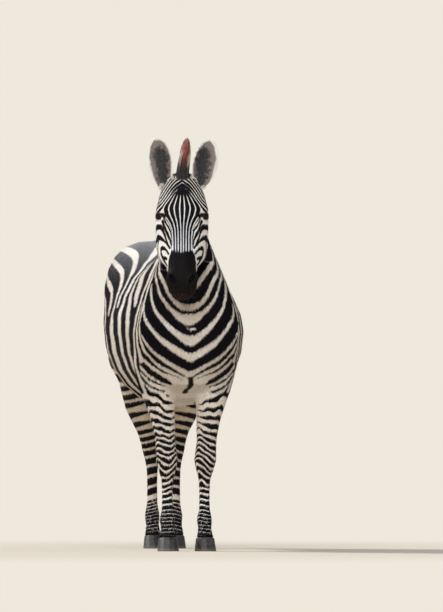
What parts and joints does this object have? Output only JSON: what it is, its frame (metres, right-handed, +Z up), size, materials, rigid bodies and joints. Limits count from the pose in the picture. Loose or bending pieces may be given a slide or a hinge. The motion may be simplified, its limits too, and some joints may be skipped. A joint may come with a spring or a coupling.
{
  "type": "zebra",
  "caption": "Plains zebra, life size, standing square and alert on its hooves with the head held up, as a still museum figure.",
  "frame": {"origin": "middle of the figure's footprint, on the floor under the four hooves", "axes": "+Z up, -Y the way the animal faces, +X to the animal's left"},
  "size_m": [0.58, 1.6192, 1.722],
  "materials": {
    "coat": "short flat hair, black stripes on cream, turning tan on the belly and legs",
    "muzzle_skin": "soft brown-black skin with short velvety hair",
    "ear_fur": "grey felt inside a white rim, banded black behind",
    "long_hair": "stiff upright hair, banded black and cream with rufous tips; the tail tuft is black",
    "hoof_horn": "dark grey horn with fine rings",
    "eye": "wet dark brown"
  },
  "bodies": {
    "root": {"muzzle": "muzzle_skin", "jaw": "coat", "head": "coat", "hoof_fore_left": "hoof_horn", "cannon_fore_left": "coat", "forearm_left": "coat", "hoof_hind_left": "hoof_horn", "cannon_hind_left": "coat", "thigh_left": "coat", "hoof_fore_right": "hoof_horn", "cannon_fore_right": "coat", "forearm_right": "coat", "hoof_hind_right": "hoof_horn", "cannon_hind_right": "coat", "thigh_right": "coat", "neck": "coat", "shoulders": "coat", "barrel": "coat", "rump": "coat", "eye_left": "eye", "ear_left": "ear_fur", "eye_right": "eye", "ear_right": "ear_fur", "mane": "long_hair", "tail_tuft": "long_hair", "tail": "coat"}
  },
  "joints": []
}
